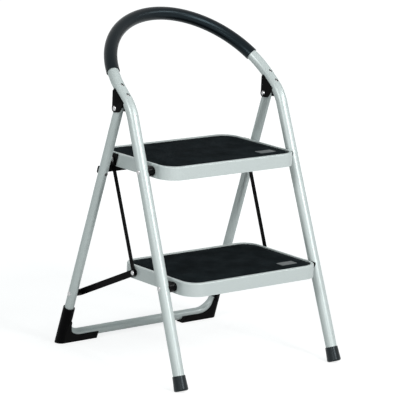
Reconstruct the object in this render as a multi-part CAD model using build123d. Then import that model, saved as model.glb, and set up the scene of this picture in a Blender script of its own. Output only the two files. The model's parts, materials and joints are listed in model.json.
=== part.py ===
from build123d import *
import math
import os

# Driving sizes of the stool, in millimetres and degrees

# Treads: two pressed trays with a mat set into the top
tread_width = 366.0
tread_depth = 246.6
tread_corner = 40.0
upper_top_z = 453.7
lower_top_z = 221.1
skirt_height = 29.3
sheet = 1.2
rim_width = 7.0
rim_round = 3.0
rim_skin = 2.0
mat_thick = 2.2
mat_drop = 2.4
mat_round = 0.5
hem_width = 6.0
pivot_drop = 15.1
front_overhang = 55.0
pivot_pitch = 135.5

# Front frame: one bent tube that makes both front legs and the hoop handle
front_tube_d = 25.0
front_wall = 1.5
front_gap = 13.8
front_lean = 21.0
front_splay = 0.8145
bend_corner_z = 568.1
bend_radius = 95.0
hoop_lean = 50.5
hoop_straight = 49.5
grip_wall = 2.2
grip_end_angle = 17.1
grip_slip = 2.0

# Rear frame: one bent tube that makes both rear legs and the floor bar
rear_tube_d = 21.0
rear_wall = 1.5
rear_lean = 17.5
rear_splay = 0.54
foot_spread = 436.4
floor_bar_z = 17.8
rear_bend_radius = 42.0
hinge_z = 560.3
rear_top_over_hinge = 9.5
plug_cap = 1.5
plug_stem = 4.0

# Links and pivots
link_thick = 2.0
vertical_link_width = 10.5
brace_link_width = 14.5
anchor_z = 121.3
rivet_d = 8.0
rivet_head_d = 10.5
rivet_head_h = 2.2
head_seat_depth = 2.0
boss_d = 22.0
boss_tab_width = 12.0
boss_tab_rise = 17.0
boss_tab_step = 4.3
standoff_d = 19.0
washer_d = 15.0
washer_thick = 1.0
pad_front = 13.0
pad_rear = 8.0
pad_thick = 1.8
pad_trim = 1.0
pad_round = 1.5
anchor_bush_d = 15.0

# Clearances
run_fit = 0.05
side_play = 0.4
rest_gap = 0.3

# Hinge bracket
cheek = 2.5
cheek_round = 8.5
cheek_back = 7.8
cheek_rise = 38.0
cheek_reach = 56.0
tongue_width = 9.0
web_lap = 6.0
web_bite = 4.0
bracket_pitch = 28.0
bracket_rivet_d = 5.0
access_hole_d = 8.5
head_sink = 1.0
tail_h = 1.5

# Cross bar that carries the upper tread
bar_height = 16.0
bar_thick = 7.0
bar_wall = 1.5
bar_round = 2.0
bar_overhang = 3.0
bar_sink = 1.5
bar_rivet_d = 4.0
bar_head_d = 8.0
bar_head_h = 1.6
cap_thick = 1.5

# Feet
boot_wall_top = 1.5
boot_wall_floor = 3.2
boot_height = 30.5
boot_sole = 5.0
boot_round = 4.0
boot_flat = 3.0
shoe_wall = 2.7
shoe_wall_floor = 3.1
shoe_collar_z = 86.3
toe_slant = 3.5
toe_half = 13.4
front_wall_gap = 0.4
far_wall_drop = 7.0
heel_round = 8.0

# Sizes that follow from the ones above
front_r = front_tube_d / 2
rear_r = rear_tube_d / 2
sin_front = math.sin(math.radians(front_lean))
cos_front = math.cos(math.radians(front_lean))
tan_front = sin_front / cos_front
sin_rear = math.sin(math.radians(rear_lean))
cos_rear = math.cos(math.radians(rear_lean))
tan_rear = sin_rear / cos_rear
half_tread = tread_width / 2
upper_pivot_z = upper_top_z - pivot_drop
lower_pivot_z = lower_top_z - pivot_drop
spacer_out = half_tread + washer_thick + pad_thick
link_in = spacer_out + side_play
link_out = link_in + link_thick
brace_in = link_out + side_play
brace_out = brace_in + link_thick
SIDES = (-1, 1)


def front_x(z):
    axis = half_tread + front_gap + front_r
    return axis + (upper_pivot_z - z) * math.tan(math.radians(front_splay))


def front_y(z):
    return tan_front * z


def rear_x(z):
    return front_x(hinge_z) + (hinge_z - z) * math.tan(math.radians(rear_splay))


def rear_y(z):
    return foot_spread - tan_rear * z


def front_point(side, z):
    return Vector(side * front_x(z), front_y(z), z)


def rear_point(side, z):
    return Vector(side * rear_x(z), rear_y(z), z)


def x_rod(x0, x1, y, z, radius):
    """Round bar along X between two x values."""
    length = abs(x1 - x0)
    return Pos((x0 + x1) / 2, y, z) * Rot(0, 90, 0) * Cylinder(radius, length)


def rivet(x_low, x_high, y, z, low_head=True, high_head=True):
    """Turned rivet along X with a domed head outside either end."""
    r, head_r = rivet_d / 2, rivet_head_d / 2
    lines = []
    ends = []
    for x, out, has_head in ((x_low, -1, low_head), (x_high, 1, high_head)):
        if has_head:
            tip = x + out * rivet_head_h
            ball = (head_r ** 2 + rivet_head_h ** 2) / (2 * rivet_head_h)
            half = math.asin(head_r / ball) / 2
            middle = (tip - out * ball * (1 - math.cos(half)), ball * math.sin(half))
            lines += [ThreePointArc((tip, 0), middle, (x, head_r)), Line((x, head_r), (x, r))]
        else:
            tip = x
            lines += [Line((x, 0), (x, r))]
        ends.append(tip)
    lines += [Line((x_low, r), (x_high, r)), Line((ends[0], 0), (ends[1], 0))]
    return Pos(0, y, z) * revolve(make_face(Curve() + lines), Axis.X)


def yz_plate(face, x0, x1):
    """Extrude a sketch drawn with (y, z) as its axes between two x values."""
    low = min(x0, x1)
    return extrude(Plane((low, 0, 0), x_dir=(0, 1, 0), z_dir=(1, 0, 0)) * face, abs(x1 - x0))


def both_sides(make):
    """Group of the left and the right copy of a small piece."""
    return Compound(children=[make(side) for side in SIDES])


# Front frame centre line
hoop_rad = math.radians(hoop_lean)
taper = math.tan(math.radians(front_splay)) * cos_front
along_hoop = Vector(0, math.sin(hoop_rad), math.cos(hoop_rad))
up_hoop = Vector(0, -math.cos(hoop_rad), math.sin(hoop_rad))


def hoop_start(side):
    inward = Vector(-side * taper * hoop_straight, 0, 0)
    return front_point(side, bend_corner_z) + along_hoop * hoop_straight + inward


hoop_base = hoop_start(1)
hoop_tilt = math.asin(taper)
hoop_r = hoop_base.X / math.cos(hoop_tilt)
hoop_centre = Vector(0, hoop_base.Y, hoop_base.Z) - along_hoop * (hoop_base.X * math.tan(hoop_tilt))


def hoop_point(angle):
    a = math.radians(angle)
    return hoop_centre + Vector(hoop_r * math.cos(a), 0, 0) + along_hoop * (hoop_r * math.sin(a))


boot_r = front_r + boot_wall_floor
boot_centre_z = (boot_r - boot_round) * sin_front + boot_round * (1 - cos_front) - boot_flat
tube_foot_z = boot_centre_z + boot_sole * cos_front
right_leg = FilletPolyline(
    front_point(1, tube_foot_z), front_point(1, bend_corner_z), hoop_base, radius=bend_radius
)
left_leg = FilletPolyline(
    hoop_start(-1), front_point(-1, bend_corner_z), front_point(-1, tube_foot_z), radius=bend_radius
)
hoop_arc = ThreePointArc(hoop_base, hoop_point(90), hoop_start(-1))
front_path = Wire(right_leg.edges() + hoop_arc.edges() + left_leg.edges())


def swept(path, outer, inner=None):
    start = Plane(origin=path @ 0, z_dir=path % 0)
    ring = Circle(outer) if inner is None else Circle(outer) - Circle(inner)
    return sweep(start * ring, path=path)


front_solid = swept(front_path, front_r)
front_tube = swept(front_path, front_r, front_r - front_wall)

# Pivot points in the side plane, as (y, z)
upper_pivot = (front_y(upper_pivot_z), upper_pivot_z)
lower_pivot = (front_y(lower_pivot_z), lower_pivot_z)
upper_link = (upper_pivot[0] + pivot_pitch, upper_pivot[1])
lower_link = (lower_pivot[0] + pivot_pitch, lower_pivot[1])
anchor = (rear_y(anchor_z), anchor_z)
hinge = (rear_y(hinge_z), hinge_z)

for pivot in (upper_pivot, lower_pivot):
    reach = front_x(0) + front_r
    front_tube -= x_rod(-reach, reach, pivot[0], pivot[1], rivet_d / 2)

# Grip sleeve on the hoop
grip_right = grip_end_angle + grip_slip
grip_left = 180 - grip_end_angle + grip_slip
grip_arc = ThreePointArc(hoop_point(grip_right), hoop_point(90), hoop_point(grip_left))
handle_grip = swept(Wire(grip_arc.edges()), front_r + grip_wall, front_r)

# Hinge brackets: a folded saddle behind the tube with two cheeks round the rear leg
bend_rise = bend_radius * math.tan(math.radians((hoop_lean - front_lean) / 2))
corner_y = front_y(bend_corner_z)


def hoop_side(distance, off):
    """Point beside the straight above the bend: distance up the tube, off behind it."""
    return (
        corner_y + along_hoop.Y * distance - up_hoop.Y * off,
        bend_corner_z + along_hoop.Z * distance - up_hoop.Z * off,
    )


def leg_side(z, off):
    """Point beside the straight leg below the bend, off behind its centre line."""
    return (front_y(z) + off * cos_front, z - off * sin_front)


hinge_half = rear_r + side_play
rear_edge = hinge[0] + cheek_back
bracket_spots = [bend_rise + 1.0, bend_rise + 1.0 + bracket_pitch]
web_low = bend_rise - web_lap
web_top = (rear_edge - corner_y + up_hoop.Y * (front_r + cheek)) / along_hoop.Y
tongue_top = bracket_spots[1] + web_lap
cheek_face = make_face(
    Polyline(
        leg_side(hinge_z + cheek_round, web_bite),
        (corner_y, bend_corner_z),
        hoop_side(cheek_reach, 0),
        (rear_edge, hinge_z + cheek_rise),
        (rear_edge, hinge_z + cheek_round / 3),
        (hinge[0], hinge_z - cheek_round),
        leg_side(hinge_z + cheek_round / 4, front_r + cheek_round),
        close=True,
    )
) + Pos(*hinge) * Circle(cheek_round)
web_face = make_face(
    Polyline(
        leg_side(hinge_z + cheek_round, web_bite),
        leg_side(hinge_z + cheek_round, front_r + cheek),
        hoop_side(web_low, front_r + cheek),
        hoop_side(web_top, front_r + cheek),
        hoop_side(web_top, web_bite),
        hoop_side(web_low, web_bite),
        close=True,
    )
)
tongue_face = make_face(
    Polyline(
        hoop_side(web_low, web_bite),
        hoop_side(web_low, front_r + cheek),
        hoop_side(tongue_top, front_r + cheek),
        hoop_side(tongue_top, web_bite),
        close=True,
    )
)


def tube_cross(side, distance, off0, off1, radius):
    """Bar square to the tube above the bend, from off0 to off1 behind its centre line."""
    x = side * (front_x(bend_corner_z) - taper * distance)
    a, b = (Vector(x, *hoop_side(distance, off)) for off in (off0, off1))
    return Plane(origin=(a + b) / 2, z_dir=b - a) * Cylinder(radius, (b - a).length)


def hinge_bracket(side):
    x = side * rear_x(hinge_z)
    body = yz_plate(cheek_face, x - hinge_half - cheek, x - hinge_half)
    body += yz_plate(cheek_face, x + hinge_half, x + hinge_half + cheek)
    body += yz_plate(web_face, x - hinge_half - cheek, x + hinge_half + cheek)
    body += yz_plate(tongue_face, x - tongue_width / 2, x + tongue_width / 2)
    body -= front_solid
    body -= x_rod(x - 2 * front_r, x + 2 * front_r, *hinge, rivet_d / 2)
    for spot in bracket_spots:
        body -= tube_cross(side, spot, 0, 2 * front_r, bracket_rivet_d / 2)
    return body.solid()


def bracket_rivet(side, spot):
    face = head_sink - front_r
    back = front_r + cheek
    shank = tube_cross(side, spot, face, back, bracket_rivet_d / 2)
    head = tube_cross(side, spot, face, face + front_wall, access_hole_d / 2 - side_play)
    tail = tube_cross(side, spot, back, back + tail_h, bracket_rivet_d * 0.8)
    return shank + head + tail


for side in SIDES:
    for spot in bracket_spots:
        front_tube -= tube_cross(side, spot, -2 * front_r, 0, access_hole_d / 2)
        front_tube -= tube_cross(side, spot, 0, 2 * front_r, bracket_rivet_d / 2)
bracket_rivets = Compound(children=[bracket_rivet(s, spot) for s in SIDES for spot in bracket_spots])


def side_rivet(side, inner, outer, pivot, inner_head=True, outer_head=True):
    if side > 0:
        return rivet(inner, outer, *pivot, inner_head, outer_head)
    return rivet(-outer, -inner, *pivot, outer_head, inner_head)


hinge_out = hinge_half + cheek
hinge_rivets = both_sides(
    lambda s: side_rivet(s, rear_x(hinge_z) - hinge_out, rear_x(hinge_z) + hinge_out, hinge)
)


def head_seat(side, outer, pivot, tube):
    """Collar that fills the gap between a flat rivet head and a round tube."""
    return x_rod(side * (outer - head_seat_depth), side * outer, *pivot, rivet_head_d / 2) - tube


def pivot_rivets(pivot):
    outer = front_x(pivot[1]) + front_r
    inner = half_tread - sheet - side_play
    return both_sides(
        lambda s: side_rivet(s, inner, outer, pivot) + head_seat(s, outer, pivot, front_solid)
    )


# Rear frame: two legs and the floor bar in one bend
rear_top_z = hinge_z + rear_top_over_hinge
rear_corner = [rear_point(s, floor_bar_z) for s in SIDES]
rear_line = FilletPolyline(
    rear_point(-1, rear_top_z), *rear_corner, rear_point(1, rear_top_z), radius=rear_bend_radius
)
rear_path = Wire(rear_line.edges())
rear_solid = swept(rear_path, rear_r)
rear_tube = swept(rear_path, rear_r, rear_r - rear_wall)
rear_reach = rear_x(0) + rear_tube_d
rear_tube -= x_rod(-rear_reach, rear_reach, *hinge, rivet_d / 2 + run_fit)
rear_tube -= x_rod(-rear_reach, rear_reach, *anchor, rivet_d / 2)


def leg_plane(side, z):
    """Plane across a rear leg: its normal runs up the leg."""
    up = (rear_point(side, z + 1) - rear_point(side, z)).normalized()
    return Plane(origin=rear_point(side, z), x_dir=(1, 0, 0), z_dir=up)


def top_plug(side):
    place = leg_plane(side, rear_top_z)
    cap = extrude(place * Circle(rear_r), plug_cap)
    stem = extrude(place * Circle(rear_r - rear_wall), -plug_stem)
    return cap + stem


top_plugs = both_sides(top_plug)

# Cross bar behind the rear legs, under the side skirts of the upper tread
bar_off = rear_r - bar_sink + bar_thick / 2
bar_crown = bar_height / 2 * cos_rear + bar_thick / 2 * sin_rear - bar_round * (cos_rear + sin_rear - 1)
bar_z = upper_top_z - skirt_height - rest_gap - bar_crown - bar_off * sin_rear
bar_half = rear_x(bar_z) + bar_overhang
bar_frame = Plane(
    origin=(0, rear_y(bar_z), bar_z), x_dir=(1, 0, 0), z_dir=(0, -sin_rear, cos_rear)
)
bar_outer = Pos(0, bar_off, 0) * Box(2 * bar_half, bar_thick, bar_height)
bar_outer = fillet(bar_outer.edges().filter_by(Axis.X), bar_round)
bar_bore = Pos(0, bar_off, 0) * Box(2 * bar_half, bar_thick - 2 * bar_wall, bar_height - 2 * bar_wall)
support_bar = bar_frame * (bar_outer - bar_bore) - rear_solid


def bar_hole(side, radius, low, high):
    x = side * rear_x(bar_z)
    return bar_frame * (Pos(x, (low + high) / 2, 0) * Rot(90, 0, 0) * Cylinder(radius, high - low))


bar_back = bar_off + bar_thick / 2
for side in SIDES:
    support_bar -= bar_hole(side, bar_rivet_d / 2, 0, bar_back + bar_wall)
    rear_tube -= bar_hole(side, bar_rivet_d / 2, -2 * rear_r, bar_back)


def bar_rivet(side):
    shank = bar_hole(side, bar_rivet_d / 2, -rear_r, bar_back)
    front = bar_hole(side, bar_head_d / 2, -rear_r - bar_head_h, bar_head_h / 2 - rear_r) - rear_solid
    back = bar_hole(side, bar_head_d / 2, bar_back, bar_back + bar_head_h)
    return shank + front + back


bar_rivets = both_sides(bar_rivet)


def bar_cap(side):
    plate = Pos(side * (bar_half + cap_thick / 2), bar_off, 0) * Box(cap_thick, bar_thick, bar_height)
    return bar_frame * fillet(plate.edges().filter_by(Axis.X), bar_round) - rear_solid


bar_caps = both_sides(bar_cap)

# Rear shoes: a round column on the leg and a low trough under the floor bar
shoe_top_r = rear_r + shoe_wall
shoe_floor_r = rear_r + shoe_wall_floor
shoe_tilt = Plane(origin=(0, foot_spread, 0), x_dir=(1, 0, 0), z_dir=(0, -cos_rear, -sin_rear))
shoe_low = -floor_bar_z
shoe_high = shoe_collar_z / cos_rear
shoe_axis = rear_x(0)
# Top edge of the trough, from the toe to the leg, in shares of the bend radius
trough_edge = ((2.185, 0.159), (1.57, 0.137), (1.05, 0.2), (0.6, 0.47), (0.25, 0.86), (0.12, 1.09))


def trough_wall(drop):
    """Wall seen square to the rear legs: x across, distance up the leg as the second axis."""
    middle = floor_bar_z / cos_rear - drop
    points = [(shoe_axis - a * rear_bend_radius, middle + b * rear_bend_radius) for a, b in trough_edge]
    edge = Spline(*points)
    under = Polyline(
        points[-1], (shoe_axis, points[-1][1]), (shoe_axis, shoe_low), (points[0][0] + toe_slant, shoe_low),
        points[0],
    )
    return make_face(edge.edges() + under.edges())


def bend_pocket():
    """Room inside the bend, behind the front wall, where the bare tube shows."""
    centre = (shoe_axis - rear_bend_radius, floor_bar_z / cos_rear + rear_bend_radius)
    below = Pos(centre[0], centre[1] - rear_bend_radius) * Rectangle(4 * rear_bend_radius, 2 * rear_bend_radius)
    return Pos(*centre) * Circle(rear_bend_radius) & below


def shoe_section():
    """Front to back section of the shoe: sharp edge in front, rounded heel behind."""
    top = 2 * shoe_collar_z
    shift = top * tan_rear
    front = foot_spread - 2 * shoe_floor_r - shift
    back = foot_spread + shoe_floor_r / cos_rear
    face = make_face(Polyline((front, 0), (front, top), (back - shift, top), (back, 0), close=True))
    return fillet(face.vertices().sort_by(Axis.X)[-1], heel_round)


def rear_shoe(side):
    height = shoe_high - shoe_low
    grow = (shoe_floor_r - shoe_top_r) * height / shoe_high
    column = Pos(0, 0, (shoe_high + shoe_low) / 2) * Cone(shoe_top_r + grow, shoe_top_r, height)
    body = leg_plane(side, 0) * column
    for drop, depth in ((0, toe_half), (far_wall_drop, -toe_half)):
        wall = trough_wall(drop)
        if side < 0:
            wall = mirror(wall, about=Plane.YZ)
        body += extrude(shoe_tilt * wall, depth)
    pocket = bend_pocket() if side > 0 else mirror(bend_pocket(), about=Plane.YZ)
    body -= extrude(shoe_tilt.offset(rear_r + front_wall_gap) * pocket, -4 * shoe_floor_r)
    body &= yz_plate(shoe_section(), 0, side * (shoe_axis + 2 * shoe_floor_r))
    return (body - rear_solid).solids().sort_by(SortBy.VOLUME)[-1]


# Front boots: tapered rubber cups, square to the leg, worn flat where they meet the floor
def front_boot(side):
    up = (front_point(side, upper_pivot_z) - front_point(side, 0)).normalized()
    foot = Plane(origin=front_point(side, boot_centre_z), x_dir=(1, 0, 0), z_dir=up)
    length = boot_height / cos_front
    profile = make_face(
        Polyline((0, 0), (boot_r, 0), (front_r + boot_wall_top, length), (0, length), close=True)
    )
    edge = profile.vertices().sort_by(Axis.X)[-1]
    cup = foot * revolve(Plane.XZ * fillet(edge, boot_round), Axis.Z)
    block = 2 * boot_height
    cup &= Pos(side * front_x(0), 0, block / 2) * Box(2 * block, 2 * block, block)
    return (cup - front_solid).solid()


# Treads
def tread_plan(inset):
    plan = RectangleRounded(tread_width - 2 * inset, tread_depth - 2 * inset, tread_corner - inset)
    return Pos(0, tread_depth / 2 - front_overhang) * plan


def step_tray(pivot, top_z):
    """Pressed tray: raised rim, recessed deck, skirt and a hem turned in at the bottom."""
    shell = extrude(tread_plan(0), -skirt_height)
    shell = fillet(shell.faces().sort_by(Axis.Z)[-1].edges(), rim_round)
    recess = mat_drop + mat_thick
    deck = recess + sheet
    cavity = Pos(0, 0, -deck) * extrude(tread_plan(sheet), sheet + deck - skirt_height)
    cavity += Pos(0, 0, -skirt_height) * extrude(tread_plan(sheet + hem_width), skirt_height - deck)
    cavity += Pos(0, 0, -rim_skin) * extrude(tread_plan(sheet) - tread_plan(rim_width - sheet), rim_skin - deck)
    tray = shell - cavity - extrude(tread_plan(rim_width), -recess)
    tray = Pos(0, pivot[0], top_z) * tray
    back = (pivot[0] + pivot_pitch, pivot[1])
    tray -= x_rod(-tread_width, tread_width, *pivot, rivet_d / 2 + run_fit)
    tray -= x_rod(-tread_width, tread_width, *back, rivet_d / 2)
    return tray


def step_mat(pivot, top_z):
    mat = extrude(tread_plan(rim_width), mat_thick)
    mat = fillet(mat.faces().sort_by(Axis.Z)[-1].edges(), mat_round)
    return Pos(0, pivot[0], top_z - mat_drop - mat_thick) * mat


def spacer_tube(pivot, inner, outer, across, bore):
    return both_sides(
        lambda s: x_rod(s * inner, s * outer, *pivot, across / 2)
        - x_rod(s * inner, s * outer, *pivot, bore)
    )


loose = rivet_d / 2 + run_fit
tight = rivet_d / 2


def rear_pads(pivot, top_z):
    """Pads on the skirt behind the vertical links, with edges along the rear legs."""
    low, high = top_z - skirt_height + pad_trim, top_z - pad_trim
    corners = [
        (pivot[0] + edge + tan_rear * (pivot[1] - z), z)
        for edge, z in ((-pad_front, low), (pad_rear, low), (pad_rear, high), (-pad_front, high))
    ]
    face = make_face(Polyline(*corners, close=True))
    face = fillet(face.vertices(), pad_round) - Pos(*pivot) * Circle(tight)
    return both_sides(lambda s: yz_plate(face, s * (spacer_out - pad_thick), s * spacer_out))


def front_bushes(pivot):
    """Moulded saddles on the front legs: a round boss at the pivot and a tab up the tube."""
    disc = Pos(*pivot) * Circle(boss_d / 2)
    tab_middle = (pivot[0] + sin_front * boss_tab_rise / 2, pivot[1] + cos_front * boss_tab_rise / 2)
    tab = Pos(*tab_middle) * Rot(0, 0, -front_lean) * Rectangle(boss_tab_width, boss_tab_rise)
    axis = front_x(pivot[1])

    def bush(side):
        block = yz_plate(disc, side * link_in, side * axis)
        block += yz_plate(tab, side * (link_in + boss_tab_step), side * axis)
        return block - front_solid - x_rod(side * link_in, side * axis, *pivot, tight)

    return both_sides(bush)


# Flat links
def link_plate(start, end, end_bore, inner, width):
    """Flat bar with round ends and a hole at each end, standing in the side plane."""
    dy, dz = end[0] - start[0], end[1] - start[1]
    turn = math.degrees(math.atan2(dz, dy))
    middle = Pos((start[0] + end[0]) / 2, (start[1] + end[1]) / 2)
    face = middle * Rot(0, 0, turn) * SlotCenterToCenter(math.hypot(dy, dz), width)
    face -= Pos(*start) * Circle(loose)
    face -= Pos(*end) * Circle(end_bore)
    return lambda side: yz_plate(face, side * inner, side * (inner + link_thick))


vertical_link = link_plate(upper_link, lower_link, loose, link_in, vertical_link_width)
brace_link = link_plate(lower_link, anchor, tight, brace_in, brace_link_width)


def brace_pin(side):
    return side_rivet(side, brace_in, brace_out, anchor, outer_head=False)


def link_rivets(pivot, outer):
    return both_sides(lambda s: side_rivet(s, half_tread - sheet, outer + side_play, pivot))


anchor_in = brace_out + side_play
anchor_out = rear_x(anchor_z) + rear_r


def anchor_bush(side):
    block = x_rod(side * anchor_in, side * rear_x(anchor_z), *anchor, anchor_bush_d / 2)
    return block - rear_solid - x_rod(side * anchor_in, side * anchor_out, *anchor, tight)


def anchor_rivet(side):
    pin = side_rivet(side, anchor_in, anchor_out, anchor, inner_head=False)
    return pin + head_seat(side, anchor_out, anchor, rear_solid)


pieces = {
    "front_frame_tube": front_tube,
    "handle_grip": handle_grip,
    "hinge_bracket_left": hinge_bracket(-1),
    "hinge_bracket_right": hinge_bracket(1),
    "bracket_rivets": bracket_rivets,
    "hinge_rivets": hinge_rivets,
    "front_boot_left": front_boot(-1),
    "front_boot_right": front_boot(1),
    "upper_pivot_rivets": pivot_rivets(upper_pivot),
    "lower_pivot_rivets": pivot_rivets(lower_pivot),
    "rear_frame_tube": rear_tube,
    "rear_top_plugs": top_plugs,
    "rear_shoe_left": rear_shoe(-1),
    "rear_shoe_right": rear_shoe(1),
    "support_bar": support_bar,
    "support_bar_caps": bar_caps,
    "support_bar_rivets": bar_rivets,
    "anchor_bushes": both_sides(anchor_bush),
    "anchor_rivets": both_sides(anchor_rivet),
    "upper_step_tray": step_tray(upper_pivot, upper_top_z),
    "upper_step_mat": step_mat(upper_pivot, upper_top_z),
    "upper_front_standoffs": spacer_tube(upper_pivot, half_tread, spacer_out, standoff_d, loose),
    "upper_front_bushes": front_bushes(upper_pivot),
    "upper_rear_standoffs": spacer_tube(upper_link, half_tread, spacer_out - pad_thick, washer_d, tight),
    "upper_rear_pads": rear_pads(upper_link, upper_top_z),
    "upper_link_rivets": link_rivets(upper_link, link_out),
    "lower_step_tray": step_tray(lower_pivot, lower_top_z),
    "lower_step_mat": step_mat(lower_pivot, lower_top_z),
    "lower_front_standoffs": spacer_tube(lower_pivot, half_tread, spacer_out, standoff_d, loose),
    "lower_front_bushes": front_bushes(lower_pivot),
    "lower_rear_standoffs": spacer_tube(lower_link, half_tread, spacer_out, washer_d, tight),
    "lower_link_rivets": link_rivets(lower_link, brace_out),
    "vertical_link_left": vertical_link(-1),
    "vertical_link_right": vertical_link(1),
    "brace_link_left": brace_link(-1),
    "brace_link_right": brace_link(1),
    "brace_pin_left": brace_pin(-1),
    "brace_pin_right": brace_pin(1),
}

# Stand the stool on the floor with its box centred on the origin, then save each piece
boxes = [piece.bounding_box() for piece in pieces.values()]
low = [min(getattr(b.min, k) for b in boxes) for k in "XYZ"]
high = [max(getattr(b.max, k) for b in boxes) for k in "XYZ"]
home = Pos(-(low[0] + high[0]) / 2, -(low[1] + high[1]) / 2, -low[2])
os.makedirs("parts", exist_ok=True)
for name, piece in pieces.items():
    export_step(home * piece, f"parts/{name}.step")
for label, point in (
    ("hinge", hinge), ("upper pivot", upper_pivot), ("lower pivot", lower_pivot),
    ("upper link", upper_link), ("lower link", lower_link), ("anchor", anchor),
):
    print(label, round(point[0] + home.position.Y, 3), round(point[1] + home.position.Z, 3))
print("box", [round(b - a, 3) for a, b in zip(low, high)], "moved", home.position)
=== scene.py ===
import json
import math

import bmesh
import bpy
from mathutils import Matrix, Vector


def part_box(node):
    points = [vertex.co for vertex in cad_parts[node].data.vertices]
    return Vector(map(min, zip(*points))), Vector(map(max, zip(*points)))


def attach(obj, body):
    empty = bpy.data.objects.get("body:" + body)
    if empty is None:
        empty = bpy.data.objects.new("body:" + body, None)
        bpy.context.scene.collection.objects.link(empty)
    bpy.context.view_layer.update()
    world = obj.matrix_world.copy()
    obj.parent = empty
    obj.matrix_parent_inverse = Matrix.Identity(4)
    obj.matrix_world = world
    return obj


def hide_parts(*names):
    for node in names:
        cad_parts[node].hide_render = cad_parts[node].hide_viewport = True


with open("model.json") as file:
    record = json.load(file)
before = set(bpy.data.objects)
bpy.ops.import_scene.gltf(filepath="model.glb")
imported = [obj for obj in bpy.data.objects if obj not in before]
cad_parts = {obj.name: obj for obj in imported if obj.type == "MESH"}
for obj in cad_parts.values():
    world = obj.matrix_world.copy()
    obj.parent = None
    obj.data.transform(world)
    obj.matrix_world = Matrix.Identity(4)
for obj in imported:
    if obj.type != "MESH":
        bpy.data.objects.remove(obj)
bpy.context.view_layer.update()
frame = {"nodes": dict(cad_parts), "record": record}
scene = bpy.context.scene
scene.view_settings.view_transform = "Standard"

# Camera at the photograph's angle, in the shared frame

AZ, EL, ROLL = (math.radians(v) for v in (-39.536, 12.604, 2.5))
FOCUS_PX, FRAME_PX = 2448.875, 400.0
SENSOR_MM = 36.0
CAMERA_DISTANCE = 5.266076
AIM_POINT = Vector((0, -0.095967, 0.3983))
AIM_RIGHT, AIM_UP = -0.067845, -0.035548
back = Vector((math.sin(AZ) * math.cos(EL), -math.cos(AZ) * math.cos(EL), math.sin(EL)))
right = Vector((math.cos(AZ), math.sin(AZ), 0.0))
up = back.cross(right)
cam_right = right * math.cos(ROLL) + up * math.sin(ROLL)
cam_up = up * math.cos(ROLL) - right * math.sin(ROLL)
aim = AIM_POINT + right * AIM_RIGHT + up * AIM_UP
cam_data = bpy.data.cameras.new("camera")
cam_data.sensor_width = SENSOR_MM
cam_data.lens = SENSOR_MM * FOCUS_PX / FRAME_PX
cam_data.clip_end = 50.0
camera = bpy.data.objects.new("camera", cam_data)
turn = Matrix((cam_right, cam_up, back)).transposed().to_4x4()
camera.matrix_world = Matrix.Translation(aim + back * CAMERA_DISTANCE) @ turn
scene.collection.objects.link(camera)
scene.camera = camera

# Studio: white behind the stool, soft boxes in front and at the side, a weak cool light all round

AMBIENT = (0.105, 0.145, 0.15, 1)
WHITE = (1, 1, 1, 1)
PAPER_GREY = (0.45, 0.45, 0.45, 1)
LAMP_AIM_Z = 0.38
FLOOR_HALF = 8.0
FLOOR_DROP = 0.0005
SWEEP_NEAR, SWEEP_FAR = 0.5, 1.8
SWEEP_UNDER_STOOL = 0.80


def seen_ray(nodes, links):
    """1 where the camera sees the white, straight, in a reflection or through something."""
    path = nodes.new("ShaderNodeLightPath")
    seen = path.outputs["Is Camera Ray"]
    for ray in ("Is Glossy Ray", "Is Transmission Ray"):
        either = nodes.new("ShaderNodeMath")
        either.operation = "MAXIMUM"
        links.new(seen, either.inputs[0])
        links.new(path.outputs[ray], either.inputs[1])
        seen = either.outputs[0]
    return seen


world = bpy.data.worlds.new("studio")
scene.world = world
world.use_nodes = True
wn, wl = world.node_tree.nodes, world.node_tree.links
surround = wn.new("ShaderNodeMix")
surround.data_type = "RGBA"
surround.inputs[6].default_value = AMBIENT
surround.inputs[7].default_value = WHITE
wl.new(seen_ray(wn, wl), surround.inputs[0])
wl.new(surround.outputs[2], wn["Background"].inputs["Color"])


def soft_box(name, turn_deg, lift_deg, distance, size, power):
    a, e = math.radians(turn_deg), math.radians(lift_deg)
    way = Vector((math.sin(a) * math.cos(e), -math.cos(a) * math.cos(e), math.sin(e)))
    data = bpy.data.lights.new(name, "AREA")
    data.shape, data.size, data.size_y, data.energy = "RECTANGLE", size[0], size[1], power
    lamp = bpy.data.objects.new(name, data)
    place = Vector((0, 0, LAMP_AIM_Z)) + way * distance
    lamp.matrix_world = Matrix.Translation(place) @ (-way).to_track_quat("-Z", "Y").to_matrix().to_4x4()
    scene.collection.objects.link(lamp)


soft_box("front_box", 3, 30, 3.0, (0.8, 1.2), 47)
soft_box("side_box", -72, 28, 3.0, (0.6, 1.2), 26)
soft_box("low_box", -36, 7, 3.2, (1.2, 0.4), 11)
soft_box("hoop_box", 42, 36, 3.0, (0.8, 0.6), 17)

floor_mesh = bpy.data.meshes.new("floor")
floor_corners = [(x * FLOOR_HALF, y * FLOOR_HALF, 0) for x, y in ((-1, -1), (1, -1), (1, 1), (-1, 1))]
floor_mesh.from_pydata(floor_corners, [], [(0, 1, 2, 3)])
floor = bpy.data.objects.new("floor", floor_mesh)
floor.location.z = -FLOOR_DROP
scene.collection.objects.link(floor)
paper = bpy.data.materials.new("white_paper")
paper.use_nodes = True
pn, pl = paper.node_tree.nodes, paper.node_tree.links
paper_shader = pn["Principled BSDF"]
paper_shader.inputs["Base Color"].default_value = PAPER_GREY
paper_shader.inputs["Roughness"].default_value = 1.0
paper_shader.inputs["Specular IOR Level"].default_value = 0.0
paper_shader.inputs["Emission Color"].default_value = WHITE
spot = pn.new("ShaderNodeTexCoord")
reach = pn.new("ShaderNodeVectorMath")
reach.operation = "LENGTH"
pl.new(spot.outputs["Object"], reach.inputs[0])
sweep = pn.new("ShaderNodeMapRange")
sweep.interpolation_type = "SMOOTHSTEP"
sweep.inputs["From Min"].default_value = SWEEP_NEAR
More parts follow.
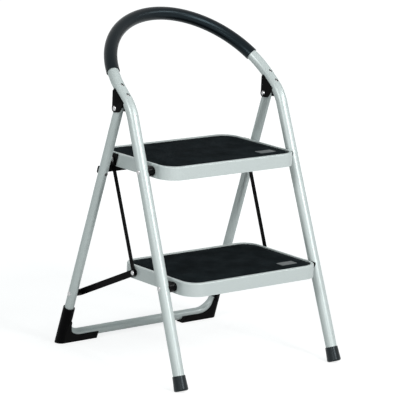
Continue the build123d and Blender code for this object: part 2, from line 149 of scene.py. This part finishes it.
sweep.inputs["From Max"].default_value = SWEEP_FAR
sweep.inputs["To Min"].default_value = SWEEP_UNDER_STOOL
sweep.inputs["To Max"].default_value = 1.0
pl.new(reach.outputs["Value"], sweep.inputs["Value"])
glow = pn.new("ShaderNodeMath")
glow.operation = "MULTIPLY"
pl.new(seen_ray(pn, pl), glow.inputs[0])
pl.new(sweep.outputs["Result"], glow.inputs[1])
pl.new(glow.outputs[0], paper_shader.inputs["Emission Strength"])
floor_mesh.materials.append(paper)

# Effects that several finishes share


def new_group(name, inputs, outputs):
    tree = bpy.data.node_groups.new(name, "ShaderNodeTree")
    for label, kind, value in inputs:
        socket = tree.interface.new_socket(name=label, in_out="INPUT", socket_type=kind)
        if value is not None:
            socket.default_value = value
    for label, kind in outputs:
        tree.interface.new_socket(name=label, in_out="OUTPUT", socket_type=kind)
    source, drain = tree.nodes.new("NodeGroupInput"), tree.nodes.new("NodeGroupOutput")
    return tree, source.outputs, drain.inputs


def noise_in(tree, vector, scale, detail):
    node = tree.nodes.new("ShaderNodeTexNoise")
    node.inputs["Detail"].default_value = detail
    tree.links.new(vector, node.inputs["Vector"])
    if isinstance(scale, (int, float)):
        node.inputs["Scale"].default_value = scale
    else:
        tree.links.new(scale, node.inputs["Scale"])
    return node.outputs["Fac"]


def spread_in(tree, value, low, high, to_low, to_high):
    node = tree.nodes.new("ShaderNodeMapRange")
    node.interpolation_type = "SMOOTHSTEP"
    node.inputs["From Min"].default_value = low
    node.inputs["From Max"].default_value = high
    for label, end in (("To Min", to_low), ("To Max", to_high)):
        if isinstance(end, (int, float)):
            node.inputs[label].default_value = end
        else:
            tree.links.new(end, node.inputs[label])
    tree.links.new(value, node.inputs["Value"])
    return node.outputs["Result"]


def blend_in(tree, share, first, second):
    node = tree.nodes.new("ShaderNodeMix")
    node.data_type = "RGBA"
    tree.links.new(share, node.inputs[0])
    tree.links.new(first, node.inputs[6])
    tree.links.new(second, node.inputs[7])
    return node.outputs[2]


def make_coat_grain():
    """Sprayed coat: flakes in the colour, shallow orange peel, gloss that clouds a little."""
    tree, given, gives = new_group(
        "coat_grain",
        [("Vector", "NodeSocketVector", None), ("Flake Scale", "NodeSocketFloat", 2600.0),
         ("Peel Scale", "NodeSocketFloat", 520.0), ("Flake Dark", "NodeSocketColor", None),
         ("Flake Light", "NodeSocketColor", None), ("Gloss Low", "NodeSocketFloat", 0.3),
         ("Gloss High", "NodeSocketFloat", 0.45)],
        [("Colour", "NodeSocketColor"), ("Roughness", "NodeSocketFloat"), ("Height", "NodeSocketFloat")],
    )
    flake = noise_in(tree, given["Vector"], given["Flake Scale"], 1.0)
    peel = noise_in(tree, given["Vector"], given["Peel Scale"], 2.0)
    cloud = noise_in(tree, given["Vector"], 14.0, 3.0)
    share = spread_in(tree, flake, 0.32, 0.68, 0.0, 1.0)
    tree.links.new(blend_in(tree, share, given["Flake Dark"], given["Flake Light"]), gives["Colour"])
    gloss = spread_in(tree, cloud, 0.3, 0.7, given["Gloss Low"], given["Gloss High"])
    tree.links.new(gloss, gives["Roughness"])
    tree.links.new(peel, gives["Height"])
    return tree


def make_mould_grain():
    """Moulded skin: a fine pitted grain, duller in the pits, with a slow change of shade."""
    tree, given, gives = new_group(
        "mould_grain",
        [("Vector", "NodeSocketVector", None), ("Pit Scale", "NodeSocketFloat", 900.0),
         ("Pit Shade", "NodeSocketColor", None), ("Skin Shade", "NodeSocketColor", None),
         ("Gloss Low", "NodeSocketFloat", 0.5), ("Gloss High", "NodeSocketFloat", 0.7)],
        [("Colour", "NodeSocketColor"), ("Roughness", "NodeSocketFloat"), ("Height", "NodeSocketFloat")],
    )
    cells = tree.nodes.new("ShaderNodeTexVoronoi")
    tree.links.new(given["Vector"], cells.inputs["Vector"])
    tree.links.new(given["Pit Scale"], cells.inputs["Scale"])
    pits = spread_in(tree, cells.outputs["Distance"], 0.05, 0.7, 0.0, 1.0)
    cloud = noise_in(tree, given["Vector"], 22.0, 3.0)
    both = tree.nodes.new("ShaderNodeMath")
    both.operation = "MULTIPLY_ADD"
    both.inputs[1].default_value = 0.45
    tree.links.new(pits, both.inputs[0])
    tree.links.new(spread_in(tree, cloud, 0.3, 0.7, 0.0, 0.55), both.inputs[2])
    shade = blend_in(tree, both.outputs[0], given["Pit Shade"], given["Skin Shade"])
    tree.links.new(shade, gives["Colour"])
    gloss = spread_in(tree, cloud, 0.25, 0.75, given["Gloss High"], given["Gloss Low"])
    tree.links.new(gloss, gives["Roughness"])
    tree.links.new(pits, gives["Height"])
    return tree


coat_grain, mould_grain = make_coat_grain(), make_mould_grain()


def finish(name, group, values, bump, bump_mm, constants):
    """One finish: a shared grain with this finish's own values, a bump and the fixed shader values."""
    material = bpy.data.materials.new(name)
    material.use_nodes = True
    nodes, links = material.node_tree.nodes, material.node_tree.links
    shader = nodes["Principled BSDF"]
    for label, value in constants.items():
        shader.inputs[label].default_value = value
    place = nodes.new("ShaderNodeTexCoord")
    grain = nodes.new("ShaderNodeGroup")
    grain.node_tree = group
    for label, value in values.items():
        grain.inputs[label].default_value = value
    links.new(place.outputs["Object"], grain.inputs["Vector"])
    relief = nodes.new("ShaderNodeBump")
    relief.inputs["Strength"].default_value = bump
    relief.inputs["Distance"].default_value = bump_mm / 1000.0
    links.new(grain.outputs["Height"], relief.inputs["Height"])
    links.new(grain.outputs["Colour"], shader.inputs["Base Color"])
    links.new(grain.outputs["Roughness"], shader.inputs["Roughness"])
    links.new(relief.outputs["Normal"], shader.inputs["Normal"])
    return material


silver_coat = finish(
    "silver_coat", coat_grain,
    {"Flake Scale": 2600.0, "Peel Scale": 480.0, "Flake Dark": (0.49, 0.545, 0.535, 1),
     "Flake Light": (0.62, 0.675, 0.665, 1), "Gloss Low": 0.32, "Gloss High": 0.37},
    0.025, 0.12, {"Metallic": 0.22, "Specular IOR Level": 0.10},
)
tread_coat = finish(
    "tread_coat", coat_grain,
    {"Flake Scale": 2600.0, "Peel Scale": 420.0, "Flake Dark": (0.52, 0.57, 0.56, 1),
     "Flake Light": (0.64, 0.69, 0.68, 1), "Gloss Low": 0.29, "Gloss High": 0.34},
    0.04, 0.14, {"Metallic": 0.11, "Specular IOR Level": 0.10},
)
black_coat = finish(
    "black_coat", coat_grain,
    {"Flake Scale": 1500.0, "Peel Scale": 700.0, "Flake Dark": (0.001, 0.001, 0.0012, 1),
     "Flake Light": (0.003, 0.003, 0.0033, 1), "Gloss Low": 0.30, "Gloss High": 0.40},
    0.2, 0.12, {"Specular IOR Level": 0.03},
)
bar_coat = finish(
    "bar_coat", coat_grain,
    {"Flake Scale": 1200.0, "Peel Scale": 560.0, "Flake Dark": (0.002, 0.002, 0.0024, 1),
     "Flake Light": (0.005, 0.005, 0.0055, 1), "Gloss Low": 0.34, "Gloss High": 0.46},
    0.2, 0.12, {"Specular IOR Level": 0.04},
)
foam_skin = finish(
    "foam_skin", mould_grain,
    {"Pit Scale": 2600.0, "Pit Shade": (0.0012, 0.0018, 0.0026, 1), "Skin Shade": (0.003, 0.0042, 0.0056, 1),
     "Gloss Low": 0.27, "Gloss High": 0.32},
    0.025, 0.12, {"Specular IOR Level": 0.20, "Specular Tint": (0.62, 0.88, 1.0, 1)},
)
mat_skin = finish(
    "mat_skin", mould_grain,
    {"Pit Scale": 800.0, "Pit Shade": (0.003, 0.0042, 0.0048, 1), "Skin Shade": (0.0075, 0.0115, 0.0135, 1),
     "Gloss Low": 0.60, "Gloss High": 0.76},
    0.4, 0.3, {"Specular IOR Level": 0.03},
)
boot_skin = finish(
    "boot_skin", mould_grain,
    {"Pit Scale": 2600.0, "Pit Shade": (0.002, 0.0026, 0.003, 1), "Skin Shade": (0.0045, 0.0058, 0.0066, 1),
     "Gloss Low": 0.26, "Gloss High": 0.31},
    0.04, 0.1, {"Specular IOR Level": 0.32, "Specular Tint": (0.8, 0.94, 1.0, 1)},
)
black_moulding = finish(
    "black_moulding", mould_grain,
    {"Pit Scale": 1300.0, "Pit Shade": (0.001, 0.001, 0.0012, 1), "Skin Shade": (0.003, 0.003, 0.0034, 1),
     "Gloss Low": 0.34, "Gloss High": 0.46},
    0.2, 0.15, {"Specular IOR Level": 0.03},
)
bush_nylon = finish(
    "bush_nylon", mould_grain,
    {"Pit Scale": 2400.0, "Pit Shade": (0.001, 0.001, 0.0012, 1), "Skin Shade": (0.003, 0.003, 0.0034, 1),
     "Gloss Low": 0.18, "Gloss High": 0.24},
    0.04, 0.1, {"Specular IOR Level": 0.08},
)
zinc_plate = finish(
    "zinc_plate", coat_grain,
    {"Flake Scale": 3200.0, "Peel Scale": 900.0, "Flake Dark": (0.42, 0.43, 0.44, 1),
     "Flake Light": (0.52, 0.52, 0.52, 1), "Gloss Low": 0.22, "Gloss High": 0.30},
    0.08, 0.08, {"Metallic": 1.0},
)
bare_rivet = finish(
    "bare_rivet", coat_grain,
    {"Flake Scale": 3200.0, "Peel Scale": 900.0, "Flake Dark": (0.84, 0.85, 0.86, 1),
     "Flake Light": (0.94, 0.94, 0.93, 1), "Gloss Low": 0.30, "Gloss High": 0.40},
    0.08, 0.08, {"Metallic": 0.9},
)
plate_grey = finish(
    "plate_grey", coat_grain,
    {"Flake Scale": 2000.0, "Peel Scale": 600.0, "Flake Dark": (0.085, 0.095, 0.098, 1),
     "Flake Light": (0.12, 0.13, 0.133, 1), "Gloss Low": 0.45, "Gloss High": 0.6},
    0.1, 0.1, {"Specular IOR Level": 0.3},
)

FINISH_OF_SLOT = {
    "frame_paint": silver_coat, "tread_paint": tread_coat, "black_steel": black_coat,
    "bar_steel": bar_coat, "foam_grip": foam_skin, "mat_rubber": mat_skin,
    "boot_rubber": boot_skin, "black_plastic": black_moulding, "zinc_rivet": zinc_plate,
}
NYLON_PIECES = ("_bushes", "_standoffs", "_caps")
for piece in frame["record"]["subparts"]:
    mesh = frame["nodes"][piece["node"]].data
    mesh.materials.clear()
    look = FINISH_OF_SLOT[piece["material_slot"]]
    if piece["node"].endswith(NYLON_PIECES):
        look = bush_nylon
    elif piece["node"] == "bracket_rivets":
        look = bare_rivet
    mesh.materials.append(look)

# Copies of CAD pieces, each with one edge, wall or depth that the solids leave plain

WELD = 1e-6
SHARP_ANGLE = math.radians(32)


def copy_of(node):
    shape = bmesh.new()
    shape.from_mesh(frame["nodes"][node].data)
    bmesh.ops.remove_doubles(shape, verts=shape.verts, dist=WELD)
    return shape


def cut_off(shape, point, outward, side=0):
    """Takes away what lies past a plane, on one side of the stool or on both, and closes the cut."""
    near = [g for g in shape.verts if g.co.x * side >= 0]
    near += [g for g in shape.edges if g.verts[0].co.x * side >= 0]
    near += [g for g in shape.faces if g.verts[0].co.x * side >= 0]
    bmesh.ops.bisect_plane(
        shape, geom=near, dist=1e-7, plane_co=point, plane_no=outward.normalized(), clear_outer=True
    )
    bmesh.ops.holes_fill(shape, edges=[e for e in shape.edges if e.is_boundary])


def as_object(name, shape):
    bmesh.ops.recalc_face_normals(shape, faces=shape.faces)
    mesh = bpy.data.meshes.new(name)
    shape.to_mesh(mesh)
    shape.free()
    thing = bpy.data.objects.new(name, mesh)
    scene.collection.objects.link(thing)
    return thing


def stand_in(name, shape, node, body):
    piece = as_object(name, shape)
    piece.data.materials.append(frame["nodes"][node].data.materials[0])
    piece.data.shade_smooth()
    piece.data.set_sharp_from_angle(angle=SHARP_ANGLE)
    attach(piece, body)
    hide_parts(node)


TAB_DROP = 0.0034
TAB_SLOPE = 0.36
TAB_OUT = 0.0075


def chamfer_bushes(name, node, tray_node):
    """The tab up the tube ends in a chamfer below the tread's rim."""
    shape = copy_of(node)
    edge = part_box(tray_node)[1]
    for side in (-1, 1):
        point = (side * (edge.x + TAB_OUT), 0, edge.z - TAB_DROP)
        cut_off(shape, point, Vector((side * TAB_SLOPE, 0, 1)), side)
    stand_in(name, shape, node, "front_frame")


chamfer_bushes("upper_chamfered_bushes", "upper_front_bushes", "upper_step_tray")
chamfer_bushes("lower_chamfered_bushes", "lower_front_bushes", "lower_step_tray")

CHEEK_ROUND = 0.018
CHEEK_CENTRE = (0.006, 0.0095)
CHEEK_CUTS, CHEEK_STEP_DEG = 6, 10


def round_cheeks(name, node):
    """The cheeks' lower front corner follows an arc from below the hinge up to the tube."""
    low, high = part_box("hinge_rivets")
    y, z = (low.y + high.y) / 2 - CHEEK_CENTRE[0], (low.z + high.z) / 2 + CHEEK_CENTRE[1]
    shape = copy_of(node)
    for step in range(1, CHEEK_CUTS + 1):
        a = math.radians(CHEEK_STEP_DEG * step)
        way = Vector((0, -math.sin(a), -math.cos(a)))
        cut_off(shape, Vector((0, y, z)) + way * CHEEK_ROUND, way)
    stand_in(name, shape, node, "front_frame")


round_cheeks("round_hinge_bracket_left", "hinge_bracket_left")
round_cheeks("round_hinge_bracket_right", "hinge_bracket_right")

REAR_LEAN = math.radians(17.5)
REAR_TUBE = 0.0105
REAR_BEND = 0.042
WALL_SCOOP = 0.040
WALL_REACH = 0.1
WALL_TOP = 0.052
WALL_FRONT = 0.02
WALL_BACK = 0.0107
BANK_START = 0.017
BANK_SIDE = 0.0094
BANK_END = (0.0086, 0.0392)
ARC_STEPS, CURVE_STEPS = 20, 14


def wall_bank():
    """Edge of the lowered wall, as (inward, rise): an arc in the tube's bend, then a curve up the column."""
    turn = math.asin((REAR_BEND - BANK_START) / WALL_SCOOP)
    steps = [turn * k / ARC_STEPS for k in range(ARC_STEPS + 1)]
    bank = [
        (REAR_BEND - WALL_SCOOP * math.sin(a), REAR_BEND - WALL_SCOOP * math.cos(a)) for a in steps
    ]
    start = bank[-1]
    bend = (BANK_SIDE, start[1] + (start[0] - BANK_SIDE) * math.tan(turn))
    for k in range(1, CURVE_STEPS + 1):
        t = k / CURVE_STEPS
        bank.append(tuple(
            (1 - t) ** 2 * p + 2 * t * (1 - t) * q + t * t * r
            for p, q, r in zip(start, bend, BANK_END)
        ))
    return bank


def scoop(side, bank, nearest_depth):
    """Room over a rear shoe's front wall, from past the toe to the bank."""
    low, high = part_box("rear_frame_tube")
    middle = Vector((0, high.y - REAR_TUBE, low.z + REAR_TUBE))
    leg = high.x - REAR_TUBE
    up_leg = Vector((0, -math.sin(REAR_LEAN), math.cos(REAR_LEAN)))
    forward = Vector((0, -math.cos(REAR_LEAN), -math.sin(REAR_LEAN)))
    toe = [(WALL_REACH, WALL_TOP), (WALL_REACH, bank[0][1])]
    edge = toe + bank + [(bank[-1][0], WALL_TOP)]
    block = bmesh.new()
    ends = []
    for depth in (nearest_depth, WALL_FRONT):
        ends.append([
            block.verts.new(middle + Vector((side * (leg - inward), 0, 0)) + up_leg * rise + forward * depth)
            for inward, rise in edge
        ])
    for end in ends:
        block.faces.new(end)
    for k in range(len(edge)):
        block.faces.new((ends[0][k - 1], ends[0][k], ends[1][k], ends[1][k - 1]))
    return block


def lower_shoe_wall(name, node, side):
    """The front wall keeps below the middle of the tube, so that the bare bend shows over it."""
    shoe = as_object(name + "_blank", copy_of(node))
    tools = [
        as_object("toe_scoop", scoop(side, wall_bank()[:1], 0.0)),
        as_object("bend_scoop", scoop(side, wall_bank(), WALL_BACK)),
    ]
    for tool in tools:
        cut = shoe.modifiers.new(tool.name, "BOOLEAN")
        cut.operation = "DIFFERENCE"
        cut.solver = "EXACT"
        cut.object = tool
    shaped = shoe.evaluated_get(bpy.context.evaluated_depsgraph_get())
    shape = bmesh.new()
    shape.from_mesh(bpy.data.meshes.new_from_object(shaped))
    bmesh.ops.remove_doubles(shape, verts=shape.verts, dist=WELD)
    for thing in [shoe] + tools:
        bpy.data.objects.remove(thing)
    stand_in(name, shape, node, "rear_frame")


lower_shoe_wall("low_wall_rear_shoe_left", "rear_shoe_left", -1)
lower_shoe_wall("low_wall_rear_shoe_right", "rear_shoe_right", 1)

HEAD_THICK = 0.0016
HEAD_SINK = 0.0014
HOLE_RADIUS = 0.0042
# Size of the black rings of painted shade that line the rivet holes
SHADE_RING_WALL = 0.0003
SHADE_RING_TOP = 0.0001
SHADE_RING_STEPS = 40
FLAT = 1e-5


def loose_pieces(shape):
    """The vertices of each separate rivet in turn."""
    left = set(shape.verts)
    while left:
        piece, edge = [], [left.pop()]
        while edge:
            vert = edge.pop()
            piece.append(vert)
            for link in vert.link_edges:
                other = link.other_vert(vert)
                if other in left:
                    left.discard(other)
                    edge.append(other)
        yield piece


def sink_bracket_rivets():
    """The bracket rivets' heads lie deeper in the tube, each in a black ring of painted shade that lines its
    hole below the edge.
    """
    shape = copy_of("bracket_rivets")
    ends = {}
    for face in shape.faces:
        facing = tuple(round(v, 2) for v in face.normal)
        if facing[1] < -0.1:
            ends[facing] = ends.get(facing, 0.0) + face.calc_area()
    way = Vector(max(ends, key=ends.get)).normalized()
    # Painted shade: a thin black sleeve in each hole, from the sunk head up to just below the edge, stands
    # for the dark inside of the hole
    shade_rings = bmesh.new()
    for rivet in loose_pieces(shape):
        tip = max(v.co.dot(way) for v in rivet)
        rim = [v.co.copy() for v in rivet if v.co.dot(way) > tip - FLAT]
        middle = sum(rim, Vector()) / len(rim)
        for vert in rivet:
            if vert.co.dot(way) > tip - HEAD_THICK:
                vert.co -= way * HEAD_SINK
        across = Vector((1, 0, 0))
        along = way.cross(across)
        profile = [(HOLE_RADIUS, -HEAD_SINK), (HOLE_RADIUS, -SHADE_RING_TOP),
                   (HOLE_RADIUS - SHADE_RING_WALL, -SHADE_RING_TOP), (HOLE_RADIUS - SHADE_RING_WALL, -HEAD_SINK)]
        loops = []
        for step in range(SHADE_RING_STEPS):
            a = math.radians(360 / SHADE_RING_STEPS * step)
            spoke = across * math.cos(a) + along * math.sin(a)
            loops.append([shade_rings.verts.new(middle + spoke * r + way * t) for r, t in profile])
        for here, after in zip(loops, loops[1:] + loops[:1]):
            for i in range(4):
                shade_rings.faces.new((here[i], here[i - 1], after[i - 1], after[i]))
    stand_in("sunk_bracket_rivets", shape, "bracket_rivets", "front_frame")
    # The rings are painted shade, in the black coat
    piece = as_object("painted_shade_hole_rings", shade_rings)
    piece.data.materials.append(black_coat)
    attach(piece, "front_frame")


sink_bracket_rivets()

# Ribs across the mats

MAT_BORDER = 0.009
RIB_PITCH = 0.0046
RIB_WIDTH = 0.0024
RIB_RISE = 0.0009
MAT_CORNER = 0.033
RIB_SIDES = 10


def make_rib_field():
    """Rows of rounded ribs from the front to the back of a mat, shorter where its corners are round."""
    tree = bpy.data.node_groups.new("rib_field", "GeometryNodeTree")
    wanted = [("Half Width", 0.17), ("Half Depth", 0.11), ("Corner", 0.03), ("Pitch", 0.005),
              ("Rib Width", 0.0024), ("Rise", 0.001), ("Middle Y", 0.0), ("Top Z", 0.4)]
    for label, value in wanted:
        socket = tree.interface.new_socket(name=label, in_out="INPUT", socket_type="NodeSocketFloat")
        socket.default_value = value
    tree.interface.new_socket(name="Finish", in_out="INPUT", socket_type="NodeSocketMaterial")
    tree.interface.new_socket(name="Ribs", in_out="OUTPUT", socket_type="NodeSocketGeometry")
    nodes, links = tree.nodes, tree.links
    given = nodes.new("NodeGroupInput").outputs
    drain = nodes.new("NodeGroupOutput")

    def math_of(operation, a, b=None):
        node = nodes.new("ShaderNodeMath")
        node.operation = operation
        for i, value in enumerate((a, b)):
            if value is None:
                continue
            if isinstance(value, (int, float)):
                node.inputs[i].default_value = value
            else:
                links.new(value, node.inputs[i])
        return node.outputs[0]

    def vector_of(x, y, z):
        node = nodes.new("ShaderNodeCombineXYZ")
        for socket, value in zip(node.inputs, (x, y, z)):
            if isinstance(value, (int, float)):
                socket.default_value = value
            else:
                links.new(value, socket)
        return node.outputs[0]

    half_count = math_of("FLOOR", math_of("DIVIDE", given["Half Depth"], given["Pitch"]))
    count = math_of("ADD", math_of("MULTIPLY", half_count, 2.0), 1.0)
    first_y = math_of("SUBTRACT", given["Middle Y"], math_of("MULTIPLY", half_count, given["Pitch"]))
    rows = nodes.new("GeometryNodeMeshLine")
    links.new(count, rows.inputs["Count"])
    links.new(vector_of(0.0, first_y, given["Top Z"]), rows.inputs["Start Location"])
    links.new(vector_of(0.0, given["Pitch"], 0.0), rows.inputs["Offset"])

    run = nodes.new("GeometryNodeCurvePrimitiveLine")
    run.inputs["Start"].default_value = (-1, 0, 0)
    run.inputs["End"].default_value = (1, 0, 0)
    section = nodes.new("GeometryNodeCurvePrimitiveCircle")
    section.inputs["Resolution"].default_value = RIB_SIDES
    section.inputs["Radius"].default_value = 1.0
    rib = nodes.new("GeometryNodeCurveToMesh")
    rib.inputs["Fill Caps"].default_value = True
    links.new(run.outputs["Curve"], rib.inputs["Curve"])
    links.new(section.outputs["Curve"], rib.inputs["Profile Curve"])

    place = nodes.new("GeometryNodeInputPosition")
    parts = nodes.new("ShaderNodeSeparateXYZ")
    links.new(place.outputs[0], parts.inputs[0])
    from_middle = math_of("ABSOLUTE", math_of("SUBTRACT", parts.outputs["Y"], given["Middle Y"]))
    straight = math_of("SUBTRACT", given["Half Depth"], given["Corner"])
    past = math_of("MAXIMUM", math_of("SUBTRACT", from_middle, straight), 0.0)
    corner_squared = math_of("MULTIPLY", given["Corner"], given["Corner"])
    square = math_of("SUBTRACT", corner_squared, math_of("MULTIPLY", past, past))
    inset = math_of("SUBTRACT", given["Corner"], math_of("SQRT", math_of("MAXIMUM", square, 0.0)))
    half_run = math_of("SUBTRACT", given["Half Width"], inset)

    spread = nodes.new("GeometryNodeInstanceOnPoints")
    links.new(rows.outputs["Mesh"], spread.inputs["Points"])
    links.new(rib.outputs["Mesh"], spread.inputs["Instance"])
    half_rib = math_of("MULTIPLY", given["Rib Width"], 0.5)
    links.new(vector_of(half_run, half_rib, given["Rise"]), spread.inputs["Scale"])
    real = nodes.new("GeometryNodeRealizeInstances")
    links.new(spread.outputs["Instances"], real.inputs["Geometry"])
    paint = nodes.new("GeometryNodeSetMaterial")
    links.new(real.outputs["Geometry"], paint.inputs["Geometry"])
    links.new(given["Finish"], paint.inputs["Material"])
    links.new(paint.outputs["Geometry"], drain.inputs["Ribs"])
    return tree


rib_field = make_rib_field()


def lay_ribs(name, mat_node, body):
    low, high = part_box(mat_node)
    holder = bpy.data.objects.new(name + "_field", bpy.data.meshes.new(name + "_field"))
    scene.collection.objects.link(holder)
    field = holder.modifiers.new("ribs", "NODES")
    field.node_group = rib_field
    sizes = {
        "Half Width": (high.x - low.x) / 2 - MAT_BORDER, "Half Depth": (high.y - low.y) / 2 - MAT_BORDER,
        "Corner": MAT_CORNER - MAT_BORDER, "Pitch": RIB_PITCH, "Rib Width": RIB_WIDTH, "Rise": RIB_RISE,
        "Middle Y": (high.y + low.y) / 2, "Top Z": high.z, "Finish": mat_skin,
    }
    for socket in rib_field.interface.items_tree:
        if socket.in_out == "INPUT":
            field[socket.identifier] = sizes[socket.name]
    bpy.context.view_layer.update()
    shaped = holder.evaluated_get(bpy.context.evaluated_depsgraph_get())
    mesh = bpy.data.meshes.new_from_object(shaped)
    bpy.data.objects.remove(holder)
    ribs = bpy.data.objects.new(name, mesh)
    scene.collection.objects.link(ribs)
    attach(ribs, body)


lay_ribs("upper_mat_ribs", "upper_step_mat", "upper_step")
lay_ribs("lower_mat_ribs", "lower_step_mat", "lower_step")

# Blank grey plates near the right front corner of each mat

PLATE_SIZE = (0.044, 0.022, 0.0005)
PLATE_CORNER = 0.003
PLATE_BEVEL = 0.0003
CORNER_STEPS = 5
PLATE_FROM_RIGHT = 0.0585
PLATE_FROM_FRONT = 0.0484


def lay_plate(name, tray_node, mat_node, body):
    tray_low, tray_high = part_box(tray_node)
    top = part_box(mat_node)[1].z + RIB_RISE
    x, y = tray_high.x - PLATE_FROM_RIGHT, tray_low.y + PLATE_FROM_FRONT
    half_x, half_y = PLATE_SIZE[0] / 2 - PLATE_CORNER, PLATE_SIZE[1] / 2 - PLATE_CORNER
    shape = bmesh.new()
    ring = []
    for corner, (sx, sy) in enumerate(((1, 1), (-1, 1), (-1, -1), (1, -1))):
        for step in range(CORNER_STEPS + 1):
            a = math.radians(90 * corner + 90 / CORNER_STEPS * step)
            ring_x = x + sx * half_x + PLATE_CORNER * math.cos(a)
            ring_y = y + sy * half_y + PLATE_CORNER * math.sin(a)
            ring.append((ring_x, ring_y))
    base = [shape.verts.new((px, py, top - RIB_RISE)) for px, py in ring]
    face = shape.faces.new(base)
    lifted = bmesh.ops.extrude_face_region(shape, geom=[face])
    for vert in lifted["geom"]:
        if isinstance(vert, bmesh.types.BMVert):
            vert.co.z = top + PLATE_SIZE[2]
    rim = [e for e in shape.edges if all(v.co.z > top for v in e.verts)]
    bmesh.ops.bevel(shape, geom=rim, offset=PLATE_BEVEL, segments=2, affect="EDGES")
    plate = as_object(name, shape)
    plate.data.materials.append(plate_grey)
    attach(plate, body)


lay_plate("upper_blank_plate", "upper_step_tray", "upper_step_mat", "upper_step")
lay_plate("lower_blank_plate", "lower_step_tray", "lower_step_mat", "lower_step")
